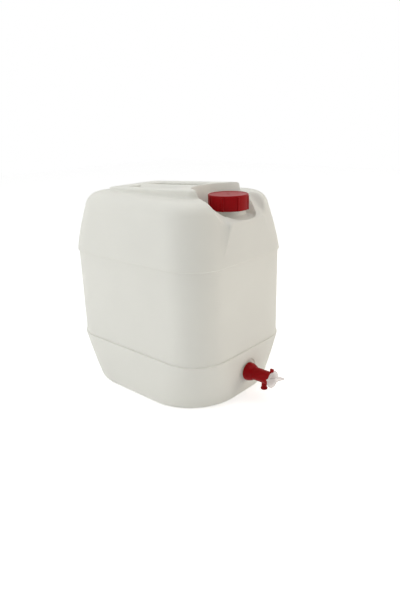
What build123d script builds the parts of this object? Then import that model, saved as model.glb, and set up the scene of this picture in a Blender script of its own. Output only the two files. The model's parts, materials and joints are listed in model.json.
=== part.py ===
"""Stackable 25 litre jerrycan-style carboy with a screw cap and a quarter-turn drain tap.

Frame: +Z up, origin at the centre of the base, X across the width, Y along the length.
The tap points along -Y, and the neck stands above it at the same end.
"""

from build123d import *
import os
from math import asin, cos, degrees, radians, sin, tan

os.makedirs("parts", exist_ok=True)

# Driving dimensions, millimetres and degrees
WALL = 2.2

# Vessel outline: half width (X), half length (Y) and plan corner radius at six heights
FOOT_X, FOOT_Y, FOOT_CORNER = 129.5, 155.0, 106.0
HIP_X, HIP_Y, HIP_CORNER = 131.9, 163.6, 80.0
GIRTH_X, GIRTH_Y, GIRTH_CORNER = 133.0, 167.0, 66.5
BAND_X, BAND_Y, BAND_CORNER = 131.3, 165.3, 67.0
CROWN_X, CROWN_Y, CROWN_CORNER = 121.9, 155.9, 69.0
TOP_X, TOP_Y, TOP_CORNER = 113.5, 147.5, 69.0
FOOT_ROUND = 12.0
HIP_Z = 57.0
LOW_LEDGE_Z = 91.0
HIGH_LEDGE_Z = 251.0
BAND_Z = 266.0
CROWN_Z = 318.0
SHOULDER_Z = 354.2
SHOULDER_ROUND = 27.0
PANEL_STEP = 2.6
LEDGE_ROUND = 1.6

# Push-up of the base inside the standing rim
PUSH_UP_INSET = 30.0
PUSH_UP = 4.0

# Raised ridge that carries the grip, falling gently towards the back
RIDGE_X = 64.0
RIDGE_FRONT_Y = -108.0
RIDGE_BACK_Y = 118.0
RIDGE_CORNER = 20.0
RIDGE_DRAFT = 8.0
RIDGE_TOP_Z = 364.5
RIDGE_FALL = 2.6
RIDGE_ROUND = 4.0
RIDGE_FOOT_ROUND = 4.0

# Hand hollow in the ridge and the grip bar that bridges it
HOLLOW_X = 43.0
HOLLOW_FRONT_Y = -52.0
HOLLOW_BACK_Y = 78.0
HOLLOW_FLOOR_Z = 311.0
HOLLOW_CORNER = 16.0
HOLLOW_FLOOR_ROUND = 8.0
HOLLOW_RIM_ROUND = 4.0
BAR_WIDTH = 31.0
BAR_HEIGHT = 25.0
BAR_CORNER = 10.0
BAR_SINK = 0.8
BAR_ANCHOR = 7.0

# Bevel that falls from the ridge to the front, either side of the neck
BEVEL_START_Y = -112.0
BEVEL_SLOPE = 37.5
BEVEL_X = 58.0
BEVEL_LENGTH = 180.0
BEVEL_DRAFT = 35.0
BEVEL_ROUND = 10.0
BEVEL_EDGE_ROUND = 5.0

# Neck, its pocket and the pedestal under it
NECK_Y = -122.0
POCKET_RADIUS = 44.0
POCKET_FLOOR_Z = 319.0
POCKET_FLOOR_ROUND = 5.0
POCKET_DRAFT = 19.0
PEDESTAL_FACE_Y = -165.0
PEDESTAL_DEPTH = 16.0
PEDESTAL_FOOT_Z = 254.0
PEDESTAL_FOOT_X = 76.0
PEDESTAL_HEAD_X = 44.0
PEDESTAL_ROUND = 10.0
PEDESTAL_EDGE_ROUND = 6.0
PEDESTAL_DRAFT = 28.0
NECK_TOP_Z = 354.0
NECK_RADIUS = 28.6
NECK_BORE_RADIUS = 25.6
NECK_COLLAR_RADIUS = 31.0

# Screw cap
CAP_TOP_Z = 357.6
CAP_HEIGHT = 24.6
CAP_RADIUS = 33.5
CAP_BORE_RADIUS = 31.2
CAP_TOP_WALL = 2.0
CAP_EDGE_ROUND = 1.6
CAP_LUGS = 8
CAP_LUG_WIDTH = 4.0
CAP_LUG_PROUD = 1.3
CAP_LUG_DROP = 2.6
CAP_LUG_TURN = 22.6
CAP_DISH = 0.5
LINER_RADIUS = 30.6
SEAL_GAP = 0.05

# Tap, measured outwards from the vessel's centre plane
TAP_Z = 48.3
TAP_PAD_RADIUS = 23.0
TAP_PAD_Y = 162.5
TAP_HOLE_RADIUS = 11.1
GASKET_THICKNESS = 1.8
GASKET_RADIUS = 15.4
SHANK_RADIUS = 10.9
SHANK_END_Y = 148.0
FLANGE_RADIUS = 16.4
FLANGE_THICKNESS = 2.8
BELL_LENGTH = 13.0
TUBE_RADIUS = 11.4
TUBE_END_Y = 215.0
TUBE_BORE_RADIUS = 8.9
SEAT_BORE_RADIUS = 8.0
SEAT_START_Y = 187.5
SPOUT_Y = 199.3
SPOUT_RADIUS = 4.7
SPOUT_LIP_RADIUS = 6.2
SPOUT_LIP_HEIGHT = 5.5
SPOUT_BORE_RADIUS = 3.4
SPOUT_PORT_RADIUS = 3.1
SPOUT_BORE_LENGTH = 14.0
SPOUT_END_Z = 24.7
LOCK_LUG_WIDTH = 3.2
LOCK_LUG_TOP = 19.0
LOCK_LUG_SEAT = 13.7
WASHER_RADIUS = 17.0
WASHER_THICKNESS = 1.6
NUT_ACROSS_FLATS = 32.0
NUT_THICKNESS = 8.0
NUT_CHAMFER = 1.0

# Valve plug with its lever
PLUG_CLEARANCE = 0.06
PLUG_BORE_RADIUS = 5.4
PLUG_INNER_END_Y = 184.0
SNAP_BEAD = 0.55
PORT_RADIUS = 3.1
DISC_RADIUS = 15.1
DISC_GAP = 0.3
DISC_THICKNESS = 2.6
LEVER_ANGLE = -20.0
LEVER_TIP = 43.0
LEVER_TIP_ROUND = 1.2
LEVER_ROOT = 7.2
STUB_TIP = 27.0
RIB_TIP = 39.0
RIB_WIDTH = 5.0
RIB_HEIGHT = 3.4
LEVER_TRAVEL = 90.0
LEVER_FROM_SHUT = 20.0
NOTCH_RADIUS = 13.4

# Worked out from the sizes above
CAP_BOTTOM_Z = CAP_TOP_Z - CAP_HEIGHT
FLANGE_Y = TAP_PAD_Y + GASKET_THICKNESS
BELL_Y = FLANGE_Y + FLANGE_THICKNESS
DISC_Y = TUBE_END_Y + DISC_GAP
PLUG_RADIUS = SEAT_BORE_RADIUS - PLUG_CLEARANCE
LUG_HALF_ANGLE = degrees(asin((LOCK_LUG_WIDTH / 2 + DISC_GAP) / LOCK_LUG_SEAT))
NOTCH_START = 90 - LUG_HALF_ANGLE - LEVER_FROM_SHUT
NOTCH_SPAN = 2 * LUG_HALF_ANGLE + LEVER_TRAVEL
NECK_AXIS = Axis((0, NECK_Y, 0), (0, 0, 1))
TAP_AXIS = Axis((0, 0, TAP_Z), (0, -1, 0))
TAP_PLANE = Plane(origin=(0, 0, TAP_Z), x_dir=(0, -1, 0), z_dir=(-1, 0, 0))
LEVER_DIRECTION = (cos(radians(LEVER_ANGLE)), 0, sin(radians(LEVER_ANGLE)))
PORT_PLANE = Plane(origin=(0, -SPOUT_Y, TAP_Z), x_dir=(0, 1, 0), z_dir=LEVER_DIRECTION)
BEVEL_PLANE = Plane(
    origin=(0, BEVEL_START_Y, SHOULDER_Z),
    x_dir=(1, 0, 0),
    z_dir=(0, -sin(radians(BEVEL_SLOPE)), cos(radians(BEVEL_SLOPE))),
)
RIDGE_PLANE = Plane(
    origin=(0, 0, RIDGE_TOP_Z),
    x_dir=(1, 0, 0),
    z_dir=(0, sin(radians(RIDGE_FALL)), cos(radians(RIDGE_FALL))),
)


def outline(half_x, half_y, corner, skin):
    """Rounded rectangle of the vessel's plan, drawn inwards by skin."""
    RectangleRounded(2 * (half_x - skin), 2 * (half_y - skin), corner - skin)


def tap_face(distance):
    """Plane across the tap's axis, at this distance in front of the vessel's centre plane."""
    return Plane(origin=(0, -distance, TAP_Z), x_dir=(1, 0, 0), z_dir=(0, -1, 0))


def lever_face(distance):
    """Plane across the tap's axis, as above, whose local X runs out along the lever."""
    return Plane(origin=(0, -distance, TAP_Z), x_dir=LEVER_DIRECTION, z_dir=(0, -1, 0))


def ridge_form(skin):
    """Ridge on the shoulder: drafted sides, rounded top edge, top falling towards the back."""
    middle = (RIDGE_FRONT_Y + RIDGE_BACK_Y) / 2
    half_length = (RIDGE_BACK_Y - RIDGE_FRONT_Y) / 2
    root_z = SHOULDER_Z - 2 * RIDGE_FOOT_ROUND
    spread = (SHOULDER_Z - root_z) * tan(radians(RIDGE_DRAFT))
    with BuildPart() as ridge:
        with BuildSketch(Plane((0, middle, root_z))):
            outline(RIDGE_X + spread, half_length + spread, RIDGE_CORNER + spread, skin)
        extrude(amount=2 * (RIDGE_TOP_Z - root_z), taper=RIDGE_DRAFT)
        split(bisect_by=RIDGE_PLANE.offset(-skin), keep=Keep.BOTTOM)
        fillet(ridge.faces().sort_by(Axis.Z)[-1].edges(), RIDGE_ROUND - skin / 2)
    return ridge.part


def hand_hollow(skin):
    """Space for the hand, open upwards, with a rounded floor; it grows by skin."""
    middle = (HOLLOW_FRONT_Y + HOLLOW_BACK_Y) / 2
    half_length = (HOLLOW_BACK_Y - HOLLOW_FRONT_Y) / 2
    with BuildPart() as hollow:
        with BuildSketch(Plane((0, middle, HOLLOW_FLOOR_Z - skin))):
            outline(HOLLOW_X, half_length, HOLLOW_CORNER, -skin)
        extrude(amount=2 * (RIDGE_TOP_Z - HOLLOW_FLOOR_Z))
        fillet(hollow.edges().group_by(Axis.Z)[0], HOLLOW_FLOOR_ROUND + skin)
    return hollow.part


def grip_bar(skin):
    """Bar along the ridge, bridging the hand hollow, thinner all round by skin."""
    middle = (HOLLOW_FRONT_Y + HOLLOW_BACK_Y) / 2
    length = HOLLOW_BACK_Y - HOLLOW_FRONT_Y + 2 * BAR_ANCHOR
    centre = RIDGE_PLANE.offset(-BAR_SINK - BAR_HEIGHT / 2).from_local_coords((0, middle, 0))
    section = Plane(origin=centre, x_dir=(1, 0, 0), z_dir=RIDGE_PLANE.y_dir)
    with BuildPart() as bar:
        with BuildSketch(section):
            RectangleRounded(BAR_WIDTH - 2 * skin, BAR_HEIGHT - 2 * skin, BAR_CORNER - skin)
        extrude(amount=length / 2, both=True)
    return bar.part


def neck_pocket(skin):
    """Funnel-shaped pocket that sinks the neck into the front shoulder; it grows by skin."""
    draft = radians(POCKET_DRAFT)
    floor_radius = POCKET_RADIUS + skin / cos(draft) - skin * tan(draft)
    with BuildPart() as pocket:
        with BuildSketch(Plane((0, NECK_Y, POCKET_FLOOR_Z - skin))):
            Circle(floor_radius)
        extrude(amount=2 * (RIDGE_TOP_Z - POCKET_FLOOR_Z), taper=-POCKET_DRAFT)
        fillet(pocket.edges().group_by(Axis.Z)[0], POCKET_FLOOR_ROUND + skin)
    return pocket.part


def pedestal(skin):
    """Flat-faced apron under the neck, flaring into the tapered front by its wide draft."""
    head_z = POCKET_FLOOR_Z - skin
    with BuildPart() as apron:
        with BuildSketch(Plane.XZ.offset(-PEDESTAL_FACE_Y - skin)) as face:
            with BuildLine():
                Polyline(
                    (-PEDESTAL_FOOT_X, PEDESTAL_FOOT_Z),
                    (PEDESTAL_FOOT_X, PEDESTAL_FOOT_Z),
                    (PEDESTAL_HEAD_X, head_z),
                    (-PEDESTAL_HEAD_X, head_z),
                    close=True,
                )
            make_face()
            fillet(face.vertices().group_by(Axis.Y)[-1], PEDESTAL_ROUND)
        extrude(amount=-PEDESTAL_DEPTH, taper=-PEDESTAL_DRAFT)
        fillet(apron.faces().sort_by(Axis.Y)[0].edges(), PEDESTAL_EDGE_ROUND - skin)
    return apron.part


def foot_form(skin):
    """Lower body: broad corners at the floor grow into tighter ones at the low ledge."""
    with BuildPart() as foot:
        with BuildSketch(Plane.XY.offset(skin)):
            outline(FOOT_X, FOOT_Y, FOOT_CORNER, skin)
        with BuildSketch(Plane.XY.offset(HIP_Z)):
            outline(HIP_X, HIP_Y, HIP_CORNER, skin)
        with BuildSketch(Plane.XY.offset(LOW_LEDGE_Z - skin)):
            outline(GIRTH_X, GIRTH_Y, GIRTH_CORNER, skin)
        loft()
        fillet(foot.edges().group_by(Axis.Z)[0], FOOT_ROUND - skin)
        fillet(foot.edges().group_by(Axis.Z)[-1], LEDGE_ROUND)

        # Push-up of the base inside the standing rim
        with BuildSketch():
            outline(FOOT_X - PUSH_UP_INSET, FOOT_Y - PUSH_UP_INSET, FOOT_CORNER - PUSH_UP_INSET, -skin)
        extrude(amount=PUSH_UP + skin, taper=30, mode=Mode.SUBTRACT)

        # Round flat that seats the tap: proud of the sloping front below, let into it above
        with BuildSketch(tap_face(TAP_PAD_Y - skin)):
            Circle(TAP_PAD_RADIUS)
        extrude(amount=TAP_PAD_RADIUS, mode=Mode.SUBTRACT)
        with BuildSketch(tap_face(TAP_PAD_Y - skin)):
            Circle(TAP_PAD_RADIUS)
        extrude(amount=-TAP_PAD_RADIUS / 2)
    return foot.part


def panel_form(skin):
    """Upright middle of the body, set back from both ledges."""
    step = PANEL_STEP + skin
    with BuildPart() as panel:
        with BuildSketch(Plane.XY.offset(LOW_LEDGE_Z - PANEL_STEP - skin)):
            outline(GIRTH_X, GIRTH_Y, GIRTH_CORNER, step)
        extrude(amount=HIGH_LEDGE_Z - LOW_LEDGE_Z + 2 * step)
    return panel.part


def on_bevel_rim(point):
    """True where the bevel cuts the level top of the crown."""
    return abs(point.X) < BEVEL_X + BEVEL_ROUND and point.Y < BEVEL_START_Y + WALL


def front_bevel(skin):
    """Space over the bevel in front of the ridge, with drafted ends; it grows by skin."""
    slope = BEVEL_PLANE.offset(-skin)
    with BuildPart() as bevel:
        with BuildSketch(slope):
            with Locations((0, -BEVEL_LENGTH / 3)):
                Rectangle(2 * (BEVEL_X + skin), BEVEL_LENGTH)
        extrude(amount=3 * SHOULDER_ROUND, taper=-BEVEL_DRAFT)
        side_edges = bevel.edges().filter_by(lambda edge: abs(edge.center().X) > BEVEL_X - 1)
        root_edges = side_edges.filter_by(lambda edge: abs(slope.to_local_coords(edge.center()).Z) < 0.05)
        fillet(root_edges, BEVEL_ROUND + skin)
    return bevel.part


def crown_form(skin):
    """Upper body: overhangs the panel at the high ledge and tapers to the rounded shoulder."""
    with BuildPart() as crown:
        with BuildSketch(Plane.XY.offset(HIGH_LEDGE_Z + skin)):
            outline(GIRTH_X, GIRTH_Y, GIRTH_CORNER, skin)
        with BuildSketch(Plane.XY.offset(BAND_Z)):
            outline(BAND_X, BAND_Y, BAND_CORNER, skin)
        with BuildSketch(Plane.XY.offset(CROWN_Z)):
            outline(CROWN_X, CROWN_Y, CROWN_CORNER, skin)
        with BuildSketch(Plane.XY.offset(SHOULDER_Z - skin)):
            outline(TOP_X, TOP_Y, TOP_CORNER, skin)
        loft()
        fillet(crown.edges().group_by(Axis.Z)[0], LEDGE_ROUND)
        fillet(crown.edges().group_by(Axis.Z)[-1], SHOULDER_ROUND - skin)
        add(front_bevel(skin), mode=Mode.SUBTRACT)
        top_edges = crown.edges().group_by(Axis.Z)[-1]
        fillet(top_edges.filter_by(lambda edge: on_bevel_rim(edge.center())), BEVEL_EDGE_ROUND - skin)
    return crown.part


def inside_ridge(point):
    """True over the ridge's own plan, away from the shoulder's outer edges."""
    return abs(point.X) < RIDGE_X + 5 and RIDGE_FRONT_Y - 5 < point.Y < RIDGE_BACK_Y + 5


def on_hollow_rim(edge, skin):
    """True for the edges of the hand hollow's mouth in the ridge's top face."""
    middle = edge.center()
    height = RIDGE_PLANE.offset(-skin).to_local_coords(middle).Z
    inside = HOLLOW_FRONT_Y - 2 * WALL < middle.Y < HOLLOW_BACK_Y + 2 * WALL
    return abs(height) < 0.05 and inside and abs(middle.X) < HOLLOW_X + 2 * WALL


def vessel_form(skin):
    """Whole moulded outline of the vessel without its neck, every face moved inwards by skin."""
    with BuildPart() as form:
        add(foot_form(skin))
        add(panel_form(skin))
        add(crown_form(skin))
        add(pedestal(skin))
        add(ridge_form(skin))
        shoulder = SHOULDER_Z - skin
        level_edges = form.edges().filter_by_position(Axis.Z, shoulder - 0.1, shoulder + 0.1)
        fillet(level_edges.filter_by(lambda edge: inside_ridge(edge.center())), RIDGE_FOOT_ROUND)
        add(hand_hollow(skin), mode=Mode.SUBTRACT)
        top_edges = form.edges().filter_by_position(Axis.Z, RIDGE_TOP_Z - skin - 8, RIDGE_TOP_Z + 8)
        fillet(top_edges.filter_by(lambda edge: on_hollow_rim(edge, skin)), HOLLOW_RIM_ROUND - skin)
        add(neck_pocket(skin), mode=Mode.SUBTRACT)
        add(grip_bar(skin))
    return form.part


with BuildPart() as carboy_body:
    add(vessel_form(0))

    # Neck: plain wall that the thread is moulded on, spreading into a collar at the pocket floor
    with BuildSketch(Plane.YZ) as neck_half:
        with BuildLine():
            floor_z = POCKET_FLOOR_Z - WALL
            collar_z = POCKET_FLOOR_Z + 2 * (NECK_COLLAR_RADIUS - NECK_RADIUS)
            Polyline(
                (NECK_Y, floor_z),
                (NECK_Y + NECK_COLLAR_RADIUS + POCKET_FLOOR_ROUND, floor_z),
                (NECK_Y + NECK_COLLAR_RADIUS + POCKET_FLOOR_ROUND, POCKET_FLOOR_Z),
            )
            RadiusArc(
                (NECK_Y + NECK_COLLAR_RADIUS + POCKET_FLOOR_ROUND, POCKET_FLOOR_Z),
                (NECK_Y + NECK_RADIUS, collar_z),
                2 * POCKET_FLOOR_ROUND,
            )
            Polyline(
                (NECK_Y + NECK_RADIUS, collar_z),
                (NECK_Y + NECK_RADIUS, NECK_TOP_Z),
                (NECK_Y, NECK_TOP_Z),
                (NECK_Y, floor_z),
            )
        make_face()
    revolve(axis=NECK_AXIS)

    # Hollow inside, opened through the neck and by the tap's hole
    add(vessel_form(WALL), mode=Mode.SUBTRACT)
    with BuildSketch(Plane((0, NECK_Y, NECK_TOP_Z))):
        Circle(NECK_BORE_RADIUS)
    extrude(amount=POCKET_FLOOR_Z - NECK_TOP_Z - 2 * WALL, mode=Mode.SUBTRACT)
    with BuildSketch(tap_face(TAP_PAD_Y)):
        Circle(TAP_HOLE_RADIUS)
    extrude(amount=-5 * WALL, mode=Mode.SUBTRACT)

with BuildPart() as screw_cap:
    with BuildSketch(Plane((0, NECK_Y, CAP_BOTTOM_Z))):
        Circle(CAP_RADIUS)
    extrude(amount=CAP_HEIGHT)
    fillet(screw_cap.edges().group_by(Axis.Z)[-1], CAP_EDGE_ROUND)

    # Grip lugs, stopping short of the rounded top edge
    with BuildSketch(Plane((0, NECK_Y, CAP_BOTTOM_Z))):
        with PolarLocations(CAP_RADIUS, CAP_LUGS, start_angle=CAP_LUG_TURN):
            RectangleRounded(2 * CAP_LUG_PROUD, CAP_LUG_WIDTH, CAP_LUG_PROUD - 0.1)
    extrude(amount=CAP_HEIGHT - CAP_LUG_DROP)

    # Hollow for the neck, and the shallow dish of the top face
    with BuildSketch(Plane((0, NECK_Y, CAP_BOTTOM_Z))):
        Circle(CAP_BORE_RADIUS)
    extrude(amount=CAP_HEIGHT - CAP_TOP_WALL, mode=Mode.SUBTRACT)
    with BuildSketch(Plane((0, NECK_Y, CAP_TOP_Z))):
        Circle(CAP_RADIUS - 2 * CAP_EDGE_ROUND)
    extrude(amount=-CAP_DISH, taper=30, mode=Mode.SUBTRACT)

with BuildPart() as cap_liner:
    with BuildSketch(Plane((0, NECK_Y, NECK_TOP_Z + SEAL_GAP))):
        Circle(LINER_RADIUS)
    extrude(amount=CAP_TOP_Z - CAP_TOP_WALL - NECK_TOP_Z - 2 * SEAL_GAP)

with BuildPart() as tap_barrel:
    # Shank, bell flange and tube turned about the tap's axis
    with BuildSketch(TAP_PLANE):
        with BuildLine():
            Polyline(
                (SHANK_END_Y, 0),
                (SHANK_END_Y, SHANK_RADIUS),
                (FLANGE_Y, SHANK_RADIUS),
                (FLANGE_Y, FLANGE_RADIUS),
                (BELL_Y, FLANGE_RADIUS),
            )
            Spline(
                (BELL_Y, FLANGE_RADIUS),
                (BELL_Y + 0.6 * BELL_LENGTH, TUBE_RADIUS + 0.62 * (FLANGE_RADIUS - TUBE_RADIUS)),
                (BELL_Y + BELL_LENGTH, TUBE_RADIUS),
                tangents=[(1, -0.1), (0.7, -0.7)],
            )
            Polyline(
                (BELL_Y + BELL_LENGTH, TUBE_RADIUS),
                (TUBE_END_Y, TUBE_RADIUS),
                (TUBE_END_Y, 0),
                (SHANK_END_Y, 0),
            )
        make_face()
    revolve(axis=TAP_AXIS)
    fillet(tap_barrel.edges().filter_by(GeomType.CIRCLE).group_by(SortBy.RADIUS)[-1], 0.8)

    # Spout with a rounded lip, turned about its own upright axis
    with BuildSketch(Plane.YZ):
        with BuildLine():
            Polyline(
                (-SPOUT_Y, TAP_Z),
                (SPOUT_RADIUS - SPOUT_Y, TAP_Z),
                (SPOUT_RADIUS - SPOUT_Y, SPOUT_END_Z + SPOUT_LIP_HEIGHT),
            )
            Spline(
                (SPOUT_RADIUS - SPOUT_Y, SPOUT_END_Z + SPOUT_LIP_HEIGHT),
                (SPOUT_LIP_RADIUS - SPOUT_Y, SPOUT_END_Z + SPOUT_LIP_HEIGHT / 3),
                (SPOUT_LIP_RADIUS - 1 - SPOUT_Y, SPOUT_END_Z),
                tangents=[(0.2, -1), (-1, -0.6)],
            )
            Polyline(
                (SPOUT_LIP_RADIUS - 1 - SPOUT_Y, SPOUT_END_Z),
                (-SPOUT_Y, SPOUT_END_Z),
                (-SPOUT_Y, TAP_Z),
            )
        make_face()
    revolve(axis=Axis((0, -SPOUT_Y, 0), (0, 0, 1)))

    # Lock lug standing on the tube's end, over the rim of the lever's disc
    with BuildSketch(tap_face(TUBE_END_Y - LOCK_LUG_WIDTH)):
        with Locations((0, (TUBE_RADIUS - 1 + LOCK_LUG_TOP) / 2)):
            Rectangle(LOCK_LUG_WIDTH, LOCK_LUG_TOP - TUBE_RADIUS + 1)
    extrude(amount=LOCK_LUG_WIDTH)
    with BuildSketch(tap_face(TUBE_END_Y)):
        with Locations((0, (LOCK_LUG_SEAT + LOCK_LUG_TOP) / 2)):
            Rectangle(LOCK_LUG_WIDTH, LOCK_LUG_TOP - LOCK_LUG_SEAT)
    extrude(amount=DISC_GAP + DISC_THICKNESS)

    # Water way: wide inner bore, closer bore that seats the plug, and the spout's own bore
    with BuildSketch(tap_face(SHANK_END_Y)):
        Circle(TUBE_BORE_RADIUS)
    extrude(amount=SEAT_START_Y - SHANK_END_Y, mode=Mode.SUBTRACT)
    with BuildSketch(tap_face(SEAT_START_Y)):
        Circle(SEAT_BORE_RADIUS)
    extrude(amount=TUBE_END_Y - SEAT_START_Y, mode=Mode.SUBTRACT)
    with BuildSketch(Plane((0, -SPOUT_Y, SPOUT_END_Z))):
        Circle(SPOUT_BORE_RADIUS)
    extrude(amount=SPOUT_BORE_LENGTH, mode=Mode.SUBTRACT)
    with BuildSketch(Plane((0, -SPOUT_Y, SPOUT_END_Z))):
        Circle(SPOUT_PORT_RADIUS)
    extrude(amount=TAP_Z - SPOUT_END_Z, mode=Mode.SUBTRACT)

with BuildPart() as tap_gasket:
    with BuildSketch(tap_face(TAP_PAD_Y)):
        Circle(GASKET_RADIUS)
        Circle(SHANK_RADIUS, mode=Mode.SUBTRACT)
    extrude(amount=GASKET_THICKNESS)

with BuildPart() as tap_washer:
    with BuildSketch(tap_face(TAP_PAD_Y - WALL)):
        Circle(WASHER_RADIUS)
        Circle(SHANK_RADIUS, mode=Mode.SUBTRACT)
    extrude(amount=-WASHER_THICKNESS)

with BuildPart() as tap_back_nut:
    with BuildSketch(tap_face(TAP_PAD_Y - WALL - WASHER_THICKNESS)):
        RegularPolygon(NUT_ACROSS_FLATS / 2, 6, major_radius=False)
        Circle(SHANK_RADIUS, mode=Mode.SUBTRACT)
    extrude(amount=-NUT_THICKNESS)
    chamfer(tap_back_nut.faces().sort_by(Axis.Y)[-1].edges().filter_by(GeomType.LINE), NUT_CHAMFER)

with BuildPart() as tap_lever:
    # Tapering plug body and its retaining bead, turned about the tap's axis
    with BuildSketch(TAP_PLANE):
        with BuildLine():
            Polyline(
                (PLUG_INNER_END_Y, 0),
                (PLUG_INNER_END_Y, PLUG_RADIUS),
                (SEAT_START_Y - 2 * SNAP_BEAD - DISC_GAP, PLUG_RADIUS + SNAP_BEAD),
                (SEAT_START_Y - DISC_GAP, PLUG_RADIUS + SNAP_BEAD),
                (SEAT_START_Y - DISC_GAP, PLUG_RADIUS),
                (DISC_Y, PLUG_RADIUS),
                (DISC_Y, DISC_RADIUS),
                (DISC_Y + DISC_THICKNESS, DISC_RADIUS),
                (DISC_Y + DISC_THICKNESS, 0),
                close=True,
            )
        make_face()
    revolve(axis=TAP_AXIS)
    fillet(tap_lever.edges().group_by(Axis.Y)[0].filter_by(GeomType.CIRCLE), 0.6)

    # Quarter-turn notch in the disc's rim: its two ends meet the lock lug
    with BuildSketch(tap_face(DISC_Y)):
        with BuildLine():
            inner = CenterArc((0, 0), NOTCH_RADIUS, NOTCH_START, NOTCH_SPAN)
            outer = CenterArc((0, 0), 2 * DISC_RADIUS, NOTCH_START, NOTCH_SPAN)
            Line(inner @ 0, outer @ 0)
            Line(inner @ 1, outer @ 1)
        make_face()
    extrude(amount=DISC_THICKNESS, mode=Mode.SUBTRACT)

    # Pointed lever with a finger rib that runs on across the disc to a short stub
    with BuildSketch(lever_face(DISC_Y)) as blade:
        with BuildLine():
            Polyline((0, LEVER_ROOT), (LEVER_TIP, 0), (0, -LEVER_ROOT), close=True)
        make_face()
        fillet(blade.vertices().sort_by(Axis.X)[-1], LEVER_TIP_ROUND)
    extrude(amount=DISC_THICKNESS)
    with BuildSketch(lever_face(DISC_Y + DISC_THICKNESS)) as rib:
        with BuildLine():
            Polyline(
                (-STUB_TIP, 0),
                (-DISC_RADIUS, RIB_WIDTH / 2),
                (DISC_RADIUS, RIB_WIDTH / 2),
                (RIB_TIP, 0),
                (DISC_RADIUS, -RIB_WIDTH / 2),
                (-DISC_RADIUS, -RIB_WIDTH / 2),
                close=True,
            )
        make_face()
        fillet(rib.vertices().group_by(Axis.X)[0], LEVER_TIP_ROUND)
        fillet(rib.vertices().group_by(Axis.X)[-1], LEVER_TIP_ROUND / 2)
    extrude(amount=RIB_HEIGHT, taper=4)

    # Hollow of the plug, and the port that meets the spout when the lever points down
    with BuildSketch(tap_face(PLUG_INNER_END_Y)):
        Circle(PLUG_BORE_RADIUS)
    extrude(amount=SPOUT_Y - PLUG_INNER_END_Y + 2 * PORT_RADIUS, mode=Mode.SUBTRACT)
    with BuildSketch(PORT_PLANE):
        Circle(PORT_RADIUS)
    extrude(amount=DISC_RADIUS, mode=Mode.SUBTRACT)

for name, piece in (
    ("carboy_body", carboy_body),
    ("screw_cap", screw_cap),
    ("cap_liner", cap_liner),
    ("tap_barrel", tap_barrel),
    ("tap_gasket", tap_gasket),
    ("tap_washer", tap_washer),
    ("tap_back_nut", tap_back_nut),
    ("tap_lever", tap_lever),
):
    piece.part.label = name
    export_step(piece.part, f"parts/{name}.step")
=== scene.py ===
# %% [markdown]
# # A 25 litre carboy with a drain tap
# The carboy is a blow-moulded can of natural polyethylene. Its screw cap and tap are moulded in deep red,
# and the tap's lever is clear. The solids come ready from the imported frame, at their real size and place.
# This lesson gives them a camera, a bright table, and the surfaces that each plastic has. Then it models
# what the solids leave out: the threads that hold the cap, the gate mark on the cap, and the soft flanks of
# the apron under the neck.

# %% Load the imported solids
import json
import math
import bpy
from mathutils import Matrix, Vector

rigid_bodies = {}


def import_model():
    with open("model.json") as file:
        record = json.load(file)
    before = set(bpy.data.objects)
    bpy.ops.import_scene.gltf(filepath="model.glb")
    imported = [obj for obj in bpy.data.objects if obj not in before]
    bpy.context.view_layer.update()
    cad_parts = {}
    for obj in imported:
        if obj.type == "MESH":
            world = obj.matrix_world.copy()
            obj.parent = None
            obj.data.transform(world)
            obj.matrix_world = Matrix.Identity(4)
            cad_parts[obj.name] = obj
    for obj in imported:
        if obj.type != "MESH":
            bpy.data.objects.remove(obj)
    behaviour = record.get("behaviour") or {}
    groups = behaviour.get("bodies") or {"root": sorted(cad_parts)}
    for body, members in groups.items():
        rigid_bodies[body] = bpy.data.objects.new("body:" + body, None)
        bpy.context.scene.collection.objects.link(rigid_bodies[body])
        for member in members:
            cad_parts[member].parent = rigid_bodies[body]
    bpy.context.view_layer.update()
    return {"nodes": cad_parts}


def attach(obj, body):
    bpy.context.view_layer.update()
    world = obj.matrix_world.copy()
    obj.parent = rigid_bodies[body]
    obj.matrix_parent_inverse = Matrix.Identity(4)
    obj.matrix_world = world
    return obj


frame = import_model()
print("nodes:", ", ".join(sorted(frame["nodes"])))

# %% [markdown]
# ## Camera
# The camera stands about a metre from the can and a little above its top. It looks down at one long side
# and the end with the tap, so that the tap points to the right. A position, a turn, a tilt and a slight
# roll place a camera exactly, so it is set by those four values and tracks nothing.

# %% Camera
CAMERA_PLACE = (-0.6850, -0.6694, 0.4785)
CAMERA_TURN = -48.05
CAMERA_DOWN = 19.17
CAMERA_ROLL = -1.49
CAMERA_LENS = 31.72
SENSOR_HEIGHT = 36

camera_data = bpy.data.cameras.new("camera")
camera_data.lens = CAMERA_LENS
camera_data.sensor_fit = "VERTICAL"
camera_data.sensor_height = SENSOR_HEIGHT
camera = bpy.data.objects.new("camera", camera_data)
bpy.context.collection.objects.link(camera)
turn = Matrix.Rotation(math.radians(CAMERA_TURN), 4, "Z")
tilt = Matrix.Rotation(math.radians(90 - CAMERA_DOWN), 4, "X")
roll = Matrix.Rotation(math.radians(CAMERA_ROLL), 4, "Z")
camera.matrix_world = Matrix.Translation(CAMERA_PLACE) @ turn @ tilt @ roll
bpy.context.scene.camera = camera
print("camera", [round(v, 3) for v in camera.location])

# %% [markdown]
# ## Shaders from small parts
# Every finish below is a handful of nodes. One function adds a node, sets its properties, and fills its
# sockets with either a value or a link. Colours are picked as sRGB hex codes, the way a paint chart gives
# them, so a second function turns them to the linear values that light is added up in.

# %% Node and colour helpers
def add_node(tree, kind, inputs=None, **settings):
    """Add one node: settings are its properties, inputs fill its sockets by name or number."""
    node = tree.nodes.new(kind)
    for name, value in settings.items():
        setattr(node, name, value)
    for name, value in (inputs or {}).items():
        if isinstance(value, bpy.types.NodeSocket):
            tree.links.new(value, node.inputs[name])
        else:
            node.inputs[name].default_value = value
    return node


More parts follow.
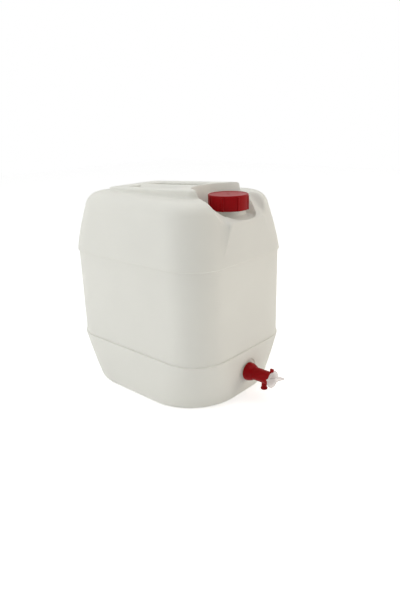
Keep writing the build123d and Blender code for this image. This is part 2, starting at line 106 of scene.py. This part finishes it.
def linear(code):
    """Linear RGBA of an sRGB hex colour."""
    channels = [int(code[i:i + 2], 16) / 255 for i in (1, 3, 5)]
    return [c / 12.92 if c <= 0.04045 else ((c + 0.055) / 1.055) ** 2.4 for c in channels] + [1]


def new_material(name):
    """Empty node material and its tree."""
    material = bpy.data.materials.new(name)
    material.use_nodes = True
    material.node_tree.nodes.clear()
    return material, material.node_tree


print("hex #808080 is linear", round(linear("#808080")[0], 3))

# %% [markdown]
# ## Table
# The can stands on a seamless white table, far larger than the picture shows. A pale matt surface alone
# would come out grey under this soft light, so the table also glows a little. Camera rays see more of that
# glow than the can is lit by, so the table is white in the picture and still takes the can's soft shadow.

# %% Table
TABLE_SIZE = 8.0
TABLE_GLOW = 0.2
TABLE_WHITE = 0.45

bpy.ops.mesh.primitive_plane_add(size=TABLE_SIZE)
table = bpy.context.active_object
table.name = "table"
table_material, tree = new_material("white_laminate")
path = add_node(tree, "ShaderNodeLightPath")
surface = add_node(tree, "ShaderNodeBsdfDiffuse", {"Color": linear("#FAFAFA")})
strength = add_node(tree, "ShaderNodeMix", {0: path.outputs["Is Camera Ray"], 2: TABLE_GLOW, 3: TABLE_WHITE})
glow = add_node(tree, "ShaderNodeEmission", {"Color": linear("#FFFFFF"), "Strength": strength.outputs[0]})
lit = add_node(tree, "ShaderNodeAddShader", {0: surface.outputs[0], 1: glow.outputs[0]})
add_node(tree, "ShaderNodeOutputMaterial", {"Surface": lit.outputs[0]})
table.data.materials.append(table_material)
print("table", TABLE_SIZE, "m square")

# %% [markdown]
# ## Light
# The light is a light tent: broad and soft from both sides and above, and little from its open side, so the
# near corner is the darkest part of the can. The world is the tent's cloth. It is full white all round
# except towards the open side, where it fades smoothly. Reflections see it as bright as it is, diffuse
# light gets a share of it, and camera rays see plain white. Three large lamps add the lit walls and the
# ceiling.

# %% The tent's cloth
AMBIENT = 0.6
OPEN_SIDE = (-0.715, -0.699, 0.0)
OPEN_SIDE_LIGHT = 0.42
FADE_START = 0.1
FADE_END = 0.95

world = bpy.data.worlds.new("light_tent")
world.use_nodes = True
tree = world.node_tree
tree.nodes.clear()
direction = add_node(tree, "ShaderNodeTexCoord")
facing = add_node(tree, "ShaderNodeVectorMath", {0: direction.outputs["Generated"], 1: OPEN_SIDE},
                  operation="DOT_PRODUCT")
cloth = add_node(tree, "ShaderNodeMapRange",
                 {"Value": facing.outputs["Value"], "From Min": FADE_START, "From Max": FADE_END,
                  "To Min": 1.0, "To Max": OPEN_SIDE_LIGHT}, interpolation_type="SMOOTHSTEP")
path = add_node(tree, "ShaderNodeLightPath")
ambient = add_node(tree, "ShaderNodeMath", {0: cloth.outputs["Result"], 1: AMBIENT}, operation="MULTIPLY")
felt = add_node(tree, "ShaderNodeMix", {0: path.outputs["Is Diffuse Ray"], 2: cloth.outputs["Result"],
                                        3: ambient.outputs["Value"]})
seen = add_node(tree, "ShaderNodeMix", {0: path.outputs["Is Camera Ray"], 2: felt.outputs[0], 3: 1.0})
light = add_node(tree, "ShaderNodeBackground", {"Color": linear("#FFFFFF"), "Strength": seen.outputs[0]})
add_node(tree, "ShaderNodeOutputWorld", {"Surface": light.outputs[0]})
bpy.context.scene.world = world
bpy.context.scene.view_settings.view_transform = "Standard"
print("cloth fades to", OPEN_SIDE_LIGHT, "and diffuse light gets", AMBIENT, "of it")

# %% Lamps
CAN_MIDDLE = (0, 0, 0.18)


def soft_lamp(name, place, size, power, colour):
    """Square area lamp at place, facing the middle of the can."""
    data = bpy.data.lights.new(name, "AREA")
    data.size = size
    data.energy = power
    data.color = linear(colour)[:3]
    lamp = bpy.data.objects.new(name, data)
    bpy.context.collection.objects.link(lamp)
    lamp.location = place
    lamp.rotation_euler = (Vector(CAN_MIDDLE) - Vector(place)).to_track_quat("-Z", "Y").to_euler()


soft_lamp("left_wall", (-1.5, 0.7, 0.9), size=1.2, power=10, colour="#FFFFFF")
soft_lamp("right_wall", (0.9, -1.6, 0.8), size=1.2, power=8.5, colour="#FFEEDA")
soft_lamp("ceiling", (0, 0.2, 1.9), size=1.6, power=11.5, colour="#FFFFFF")
print("lamps:", [light.name for light in bpy.data.lights])

# %% [markdown]
# ## Natural polyethylene
# High-density polyethylene without pigment is milky: light enters the 2 mm wall, scatters, and comes out on
# both sides. Subsurface scattering could show that, but the wall is a real shell here, so a share of
# Translucent shader does it with less noise: it lets light from behind the wall come through diffusely.
# Blow moulding leaves a satin skin: the mould is sand-blasted so that air escapes, and the wall is a touch
# uneven where the plastic stretched. Two noises give those, a fine grain and a slow swell, and a third one
# clouds the colour a little. Real blasting leaves grains of a few tenths of a millimetre, and they are
# drawn coarser, at 0.7 mm, so that they show.

# %% Natural polyethylene
GRAIN_SIZE = 0.0007
GRAIN_HEIGHT = 0.00005
SWELL_SIZE = 0.045
SWELL_HEIGHT = 0.0012
CLOUD_SIZE = 0.09
THROUGH_SHARE = 0.4


def natural_polyethylene():
    """Milky translucent wall with sand-blasted grain and slow swell."""
    material, tree = new_material("natural_polyethylene")
    place = add_node(tree, "ShaderNodeTexCoord")
    clouds = add_node(tree, "ShaderNodeTexNoise",
                      {"Vector": place.outputs["Object"], "Scale": 1 / CLOUD_SIZE, "Detail": 2})
    colour = add_node(tree, "ShaderNodeMix", {0: clouds.outputs["Fac"], 6: linear("#F6F6F1"),
                                              7: linear("#F1F1EC")}, data_type="RGBA")
    grain = add_node(tree, "ShaderNodeTexNoise",
                     {"Vector": place.outputs["Object"], "Scale": 1 / GRAIN_SIZE, "Detail": 2})
    swell = add_node(tree, "ShaderNodeTexNoise",
                     {"Vector": place.outputs["Object"], "Scale": 1 / SWELL_SIZE, "Detail": 1})
    waves = add_node(tree, "ShaderNodeBump", {"Height": swell.outputs["Fac"], "Strength": 0.25,
                                              "Distance": SWELL_HEIGHT})
    skin = add_node(tree, "ShaderNodeBump", {"Height": grain.outputs["Fac"], "Strength": 0.2,
                                             "Distance": GRAIN_HEIGHT, "Normal": waves.outputs["Normal"]})
    face = add_node(tree, "ShaderNodeBsdfPrincipled", {
        "Base Color": colour.outputs[2], "Roughness": 0.45, "IOR": 1.54, "Specular IOR Level": 0.4,
        "Normal": skin.outputs["Normal"]})
    through = add_node(tree, "ShaderNodeBsdfTranslucent", {"Color": colour.outputs[2],
                                                           "Normal": waves.outputs["Normal"]})
    milk = add_node(tree, "ShaderNodeMixShader", {0: THROUGH_SHARE, 1: face.outputs[0],
                                                  2: through.outputs[0]})
    add_node(tree, "ShaderNodeOutputMaterial", {"Surface": milk.outputs[0]})
    return material


print("can: grain", GRAIN_SIZE, "m, swell", SWELL_SIZE, "m, clouds", CLOUD_SIZE, "m")

# %% [markdown]
# ## Red polyethylene
# The cap and tap are injection moulded in pigmented polyethylene. A polished mould makes them smoother than
# the can, and half gloss, with the faint orange-peel that plastic gets as it shrinks away from the mould. A
# noise of about a millimetre gives the peel, and a wider one mottles the pigment a little.

# %% Red polyethylene
MOTTLE_SIZE = 0.012
PEEL_SIZE = 0.0012
PEEL_HEIGHT = 0.00004


def red_polyethylene():
    """Deep red injection-moulded plastic, half gloss."""
    material, tree = new_material("red_polyethylene")
    place = add_node(tree, "ShaderNodeTexCoord")
    mottle = add_node(tree, "ShaderNodeTexNoise",
                      {"Vector": place.outputs["Object"], "Scale": 1 / MOTTLE_SIZE, "Detail": 3})
    colour = add_node(tree, "ShaderNodeMix", {0: mottle.outputs["Fac"], 6: linear("#940008"),
                                              7: linear("#860006")}, data_type="RGBA")
    peel = add_node(tree, "ShaderNodeTexNoise",
                    {"Vector": place.outputs["Object"], "Scale": 1 / PEEL_SIZE, "Detail": 1})
    skin = add_node(tree, "ShaderNodeBump", {"Height": peel.outputs["Fac"], "Strength": 0.15,
                                             "Distance": PEEL_HEIGHT})
    shader = add_node(tree, "ShaderNodeBsdfPrincipled", {
        "Base Color": colour.outputs[2], "Roughness": 0.36, "IOR": 1.52, "Specular IOR Level": 0.1,
        "Normal": skin.outputs["Normal"]})
    add_node(tree, "ShaderNodeOutputMaterial", {"Surface": shader.outputs[0]})
    return material


print("cap and tap: peel", PEEL_SIZE, "m, mottle", MOTTLE_SIZE, "m")

# %% [markdown]
# ## Clear polypropylene
# The lever is polypropylene without pigment: clear where it is thin, with a trace of milk. Transmission
# would bend the light at every face of its thin ribs and show them grey. Here Alpha lets what lies behind
# it show through straight, under a plain gloss.

# %% Clear polypropylene
FLOW_SIZE = 0.008
LEVER_COVER = 0.62


def clear_polypropylene():
    """Clear moulded plastic with a trace of milk."""
    material, tree = new_material("clear_polypropylene")
    place = add_node(tree, "ShaderNodeTexCoord")
    flow = add_node(tree, "ShaderNodeTexNoise",
                    {"Vector": place.outputs["Object"], "Scale": 1 / FLOW_SIZE, "Detail": 1})
    colour = add_node(tree, "ShaderNodeMix", {0: flow.outputs["Fac"], 6: linear("#E9E4E2"),
                                              7: linear("#E0DAD8")}, data_type="RGBA")
    shader = add_node(tree, "ShaderNodeBsdfPrincipled", {
        "Base Color": colour.outputs[2], "Roughness": 0.3, "IOR": 1.49, "Specular IOR Level": 0.5,
        "Alpha": LEVER_COVER})
    add_node(tree, "ShaderNodeOutputMaterial", {"Surface": shader.outputs[0]})
    return material


print("lever covers", LEVER_COVER, "of what lies behind it")

# %% [markdown]
# ## Liner foam and silicone
# The liner is polyethylene foamed into small closed cells, which a Voronoi pattern draws as bubbles. They
# are drawn at 0.8 mm, somewhat coarser than real ones. The sealing rings are pale silicone, which light
# enters a couple of millimetres deep, so they get some subsurface scattering. The liner hides inside the
# cap, and of the rings only the edge of the gasket shows, behind the flange of the tap.

# %% Liner foam and silicone
CELL_SIZE = 0.0008
CELL_HEIGHT = 0.0001
DUST_SIZE = 0.0015
SILICONE_DEPTH = 0.002


def foamed_liner():
    """White foamed polyethylene with small closed cells."""
    material, tree = new_material("foamed_liner")
    place = add_node(tree, "ShaderNodeTexCoord")
    cells = add_node(tree, "ShaderNodeTexVoronoi",
                     {"Vector": place.outputs["Object"], "Scale": 1 / CELL_SIZE})
    skin = add_node(tree, "ShaderNodeBump", {"Height": cells.outputs["Distance"], "Strength": 0.4,
                                             "Distance": CELL_HEIGHT})
    shader = add_node(tree, "ShaderNodeBsdfPrincipled", {
        "Base Color": linear("#F2F2EF"), "Roughness": 0.6, "IOR": 1.5, "Normal": skin.outputs["Normal"]})
    add_node(tree, "ShaderNodeOutputMaterial", {"Surface": shader.outputs[0]})
    return material


def pale_silicone():
    """Soft sealing ring with a matt, slightly dusty skin."""
    material, tree = new_material("pale_silicone")
    place = add_node(tree, "ShaderNodeTexCoord")
    dust = add_node(tree, "ShaderNodeTexNoise",
                    {"Vector": place.outputs["Object"], "Scale": 1 / DUST_SIZE, "Detail": 3})
    colour = add_node(tree, "ShaderNodeMix", {0: dust.outputs["Fac"], 6: linear("#E2DED2"),
                                              7: linear("#D3CEC0")}, data_type="RGBA")
    shader = add_node(tree, "ShaderNodeBsdfPrincipled", {
        "Base Color": colour.outputs[2], "Roughness": 0.55, "IOR": 1.41, "Subsurface Weight": 0.3,
        "Subsurface Radius": (1.0, 0.9, 0.7), "Subsurface Scale": SILICONE_DEPTH})
    add_node(tree, "ShaderNodeOutputMaterial", {"Surface": shader.outputs[0]})
    return material


print("liner cells", CELL_SIZE, "m, silicone depth", SILICONE_DEPTH, "m")

# %% [markdown]
# ## Dress the solids
# Each solid gets one finish, under the name of the material slot that the frame gives it. The table below
# is used again for the new pieces, so that a piece and the solid it belongs to share one material.

# %% Dress the solids
FINISHES = {
    "natural_polyethylene": (natural_polyethylene(), ["carboy_body"]),
    "red_polyethylene": (red_polyethylene(), ["screw_cap", "tap_barrel", "tap_back_nut"]),
    "clear_polypropylene": (clear_polypropylene(), ["tap_lever"]),
    "liner_foam": (foamed_liner(), ["cap_liner"]),
    "seal_rubber": (pale_silicone(), ["tap_gasket", "tap_washer"]),
}
for slot_name, (material, nodes) in FINISHES.items():
    for node in nodes:
        solid = frame["nodes"][node]
        solid.data.materials.clear()
        solid.data.materials.append(material)
    print(slot_name, "on", ", ".join(nodes))

# %% [markdown]
# ## Selecting
# An operator acts on all that is selected, and a new primitive is selected all over. So everything is
# deselected before a piece is added, and the vertices that an operator may touch are picked by their place.

# %% Selecting
def deselect_all():
    """Deselect every object."""
    bpy.ops.object.select_all(action="DESELECT")


def select_vertices(mesh, wanted):
    """Select only the vertices for which wanted(vertex) is true."""
    for part in (mesh.polygons, mesh.edges, mesh.vertices):
        for item in part:
            item.select = False
    for vertex in mesh.vertices:
        vertex.select = wanted(vertex)


deselect_all()
print("selected objects:", len(bpy.context.selected_objects))

# %% [markdown]
# ## Threads
# A coarse right-handed thread holds the cap: one turn lifts it 4 mm. On the real neck it is a blown ridge
# with slanted flanks, and the cap has a matching moulded ridge inside. A Screw modifier winds a profile up
# round the Z axis, which is how such a ridge runs, so each thread starts as a plane turned upright and
# narrowed to its crest, and loses its face before it is wound. Both ends run out into the wall. The cap's
# ridge starts half a pitch off the neck's, so that the two lie between each other and keep apart while the
# cap turns and rises.

# %% Profile of a ridge
NECK_Y = -0.122
THREAD_PITCH = 0.004
THREAD_FOOT = 0.0022
THREAD_TIP = 0.0011


def thread_profile(name, root, crest):
    """Upright outline of a ridge, without a face: broad at radius root, narrow at radius crest."""
    deselect_all()
    bpy.ops.mesh.primitive_plane_add(size=1, rotation=(math.radians(90), 0, 0))
    bpy.ops.object.transform_apply(location=False, rotation=True, scale=False)
    ridge = bpy.context.active_object
    ridge.name = name
    middle = (root + crest) / 2
    bpy.ops.object.mode_set(mode="EDIT")
    bpy.ops.mesh.select_mode(type="VERT")
    bpy.ops.transform.resize(value=(abs(crest - root), 1, THREAD_FOOT))
    bpy.ops.transform.translate(value=(middle, 0, 0))
    bpy.ops.mesh.delete(type="ONLY_FACE")
    bpy.ops.object.mode_set(mode="OBJECT")
    select_vertices(ridge.data, lambda vertex: (vertex.co.x > middle) == (crest > root))
    bpy.ops.object.mode_set(mode="EDIT")
    bpy.ops.transform.resize(value=(1, 1, THREAD_TIP / THREAD_FOOT))
    bpy.ops.object.mode_set(mode="OBJECT")
    return ridge


print("ridge", THREAD_FOOT, "m wide at its foot and", THREAD_TIP, "m at its crest")

# %% One wound ridge
STEPS_PER_TURN = 48
RUN_OUT = 0.92
NEARLY = 0.00005
THREAD_SHARP = 30


def wind_thread(name, root, crest, start_z, turns):
    """Ridge from radius root to radius crest that winds up from start_z round the neck's axis."""
    ridge = thread_profile(name, root, crest)
    rise = THREAD_PITCH * turns
    screw = ridge.modifiers.new("turns", "SCREW")
    screw.angle = 2 * math.pi * turns
    screw.screw_offset = rise
    screw.steps = screw.render_steps = round(STEPS_PER_TURN * turns)
    bpy.ops.object.modifier_apply(modifier=screw.name)
    sink = 1 + (root / crest - 1) * RUN_OUT
    for end_z in (0, rise):
        select_vertices(ridge.data, lambda vertex: abs(vertex.co.y) < NEARLY
                        and abs(vertex.co.z - end_z) < THREAD_FOOT / 2
                        and abs(math.hypot(vertex.co.x, vertex.co.y) - crest) < NEARLY)
        bpy.ops.object.mode_set(mode="EDIT")
        bpy.ops.transform.resize(value=(sink, sink, 1), center_override=(0, 0, 0))
        bpy.ops.object.mode_set(mode="OBJECT")
    bpy.ops.object.mode_set(mode="EDIT")
    bpy.ops.mesh.select_all(action="SELECT")
    bpy.ops.mesh.fill_holes(sides=4)
    bpy.ops.mesh.select_all(action="SELECT")
    bpy.ops.mesh.remove_doubles(threshold=NEARLY / 10)
    bpy.ops.mesh.normals_make_consistent(inside=False)
    bpy.ops.transform.translate(value=(0, NECK_Y, start_z))
    bpy.ops.object.mode_set(mode="OBJECT")
    bpy.ops.object.shade_smooth_by_angle(angle=math.radians(THREAD_SHARP))
    return ridge


print("each turn has", STEPS_PER_TURN, "steps")

# %% The two threads
NECK_ROOT = 0.0284
NECK_CREST = 0.0304
NECK_THREAD_Z = 0.3405
NECK_THREAD_TURNS = 2.5
CAP_ROOT = 0.0314
CAP_CREST = 0.0293
CAP_THREAD_Z = NECK_THREAD_Z + 1.5 * THREAD_PITCH
CAP_THREAD_TURNS = 1.5

neck_thread = wind_thread("neck_thread", NECK_ROOT, NECK_CREST, NECK_THREAD_Z, NECK_THREAD_TURNS)
neck_thread.data.materials.append(FINISHES["natural_polyethylene"][0])
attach(neck_thread, "carboy")

cap_thread = wind_thread("cap_thread", CAP_ROOT, CAP_CREST, CAP_THREAD_Z, CAP_THREAD_TURNS)
cap_thread.data.materials.append(FINISHES["red_polyethylene"][0])
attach(cap_thread, "cap")
print("threads:", len(neck_thread.data.polygons), "and", len(cap_thread.data.polygons), "faces")

# %% [markdown]
# ## Gate mark
# The cap is filled through one point, the middle of its top. Where the runner was snapped off, a low round
# boss stays. It starts as a thin drum with the whole of it selected, so the extrude doesn't grow the drum:
# it leaves a second one 0.2 mm above the first, and turns the first inside out. A Bevel modifier softens
# the edges. The two show as one disc, which stays below the rim of the cap's shallow dish.

# %% Gate mark
GATE_RADIUS = 0.0030
GATE_SIDES = 40
GATE_DRUM_HEIGHT = 0.0004
GATE_DRUM_RISE = 0.0002
GATE_FOOT_Z = 0.3569
GATE_ROUNDING = 0.00008
GATE_SHARP = 40

deselect_all()
bpy.ops.mesh.primitive_cylinder_add(vertices=GATE_SIDES, radius=GATE_RADIUS, depth=GATE_DRUM_HEIGHT,
                                    location=(0, NECK_Y, GATE_FOOT_Z + GATE_DRUM_HEIGHT / 2))
gate_mark = bpy.context.active_object
gate_mark.name = "gate_mark"
bpy.ops.object.transform_apply(location=True, rotation=True, scale=True)
bpy.ops.object.mode_set(mode="EDIT")
bpy.ops.mesh.select_mode(type="FACE")
bpy.ops.mesh.extrude_region_move(TRANSFORM_OT_translate={"value": (0, 0, GATE_DRUM_RISE)})
bpy.ops.object.mode_set(mode="OBJECT")
rounding = gate_mark.modifiers.new("soft_edges", "BEVEL")
rounding.width = GATE_ROUNDING
rounding.segments = 2
bpy.ops.object.modifier_apply(modifier=rounding.name)
bpy.ops.object.shade_smooth_by_angle(angle=math.radians(GATE_SHARP))
gate_mark.data.materials.append(FINISHES["red_polyethylene"][0])
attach(gate_mark, "cap")
print("gate mark", len(gate_mark.data.polygons), "faces")

# %% [markdown]
# ## Soft flanks of the apron
# Under the neck a flat apron stands out of the front. Its flanks run softly into the shoulder, because a
# blown wall never follows a hollow corner of its mould closely. A grid is projected onto each flank from
# the front, and what falls into the neck's pocket is deleted. Then a Smooth modifier pulls it tight in
# turns with a rule that it may not sink into the wall, as a stretched skin would lie over the corner. A
# Solidify modifier closes it, and its edges end just inside the wall.

# %% Grid on the wall
FLANK_X = 0.0430
FLANK_WIDTH = 0.0620
FLANK_LOW = 0.2550
FLANK_HIGH = 0.3300
FLANK_STEP = 0.0010
FLANK_START_Y = -0.25


def wall_grid(name, side):
    """Fine upright grid in front of the can, projected straight back onto one flank of the apron."""
    deselect_all()
    height = FLANK_HIGH - FLANK_LOW
    bpy.ops.mesh.primitive_grid_add(x_subdivisions=round(FLANK_WIDTH / FLANK_STEP),
                                    y_subdivisions=round(height / FLANK_STEP), size=1,
                                    rotation=(math.radians(90), 0, 0))
    flank = bpy.context.active_object
    flank.name = name
    bpy.ops.object.transform_apply(location=False, rotation=True, scale=False)
    flank.scale = (FLANK_WIDTH, 1, height)
    flank.location = (side * FLANK_X, FLANK_START_Y, (FLANK_LOW + FLANK_HIGH) / 2)
    bpy.ops.object.transform_apply(location=True, rotation=True, scale=True)
    wrap = flank.modifiers.new("onto_wall", "SHRINKWRAP")
    wrap.target = frame["nodes"]["carboy_body"]
    wrap.wrap_method = "PROJECT"
    wrap.use_project_y = True
    bpy.ops.object.modifier_apply(modifier=wrap.name)
    return flank


print("grid of", FLANK_STEP, "m squares")

# %% Skin pulled tight
POCKET_Y = -0.1500
FLANK_ROUNDS = 12
FLANK_SMOOTHING = 60
FLANK_LAST_SMOOTHING = 25


def trim_at_pocket(flank):
    """Delete what fell into the neck's pocket, and group the vertices that aren't on the rim."""
    select_vertices(flank.data, lambda vertex: vertex.co.y > POCKET_Y)
    bpy.ops.object.mode_set(mode="EDIT")
    bpy.ops.mesh.select_mode(type="VERT")
    bpy.ops.mesh.select_more()
    bpy.ops.mesh.delete(type="VERT")
    bpy.ops.mesh.select_non_manifold(extend=False, use_wire=True, use_boundary=True, use_verts=True)
    bpy.ops.mesh.select_all(action="INVERT")
    bpy.ops.object.mode_set(mode="OBJECT")
    loose = flank.vertex_groups.new(name="loose")
    loose.add([vertex.index for vertex in flank.data.vertices if vertex.select], 1, "REPLACE")


def smooth_depth(flank, times):
    """Smooth the loose vertices of a flank along Y only."""
    deselect_all()
    flank.select_set(True)
    bpy.context.view_layer.objects.active = flank
    smooth = flank.modifiers.new("pull_tight", "SMOOTH")
    smooth.use_x = smooth.use_z = False
    smooth.iterations = times
    smooth.vertex_group = "loose"
    bpy.ops.object.modifier_apply(modifier=smooth.name)


def pull_tight(flank, wall):
    """Smooth in rounds, and after each bring back in front of the wall what sank behind it."""
    for _ in range(FLANK_ROUNDS):
        smooth_depth(flank, FLANK_SMOOTHING)
        for vertex, wall_y in zip(flank.data.vertices, wall):
            vertex.co.y = min(vertex.co.y, wall_y)
    smooth_depth(flank, FLANK_LAST_SMOOTHING)


print(FLANK_ROUNDS, "rounds of", FLANK_SMOOTHING, "smoothing steps")

# %% Apron flanks
FLANK_SINK = 0.00015
FLANK_SKIN = 0.0006
FLANK_SHARP = 40


def apron_flank(name, side):
    """Closed skin over the hollow corner beside the apron, on one side."""
    flank = wall_grid(name, side)
    trim_at_pocket(flank)
    wall = [vertex.co.y for vertex in flank.data.vertices]
    pull_tight(flank, wall)
    deepest = max(wall_y - vertex.co.y for vertex, wall_y in zip(flank.data.vertices, wall))
    for vertex in flank.data.vertices:
        vertex.co.y += FLANK_SINK
    skin = flank.modifiers.new("skin", "SOLIDIFY")
    skin.thickness = FLANK_SKIN
    bpy.ops.object.modifier_apply(modifier=skin.name)
    bpy.ops.object.shade_smooth_by_angle(angle=math.radians(FLANK_SHARP))
    print(name, "fills the corner by up to", round(deepest * 1000, 1), "mm")
    return flank


for name, side in (("left_flank", -1), ("right_flank", 1)):
    flank = apron_flank(name, side)
    flank.data.materials.append(FINISHES["natural_polyethylene"][0])
    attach(flank, "carboy")
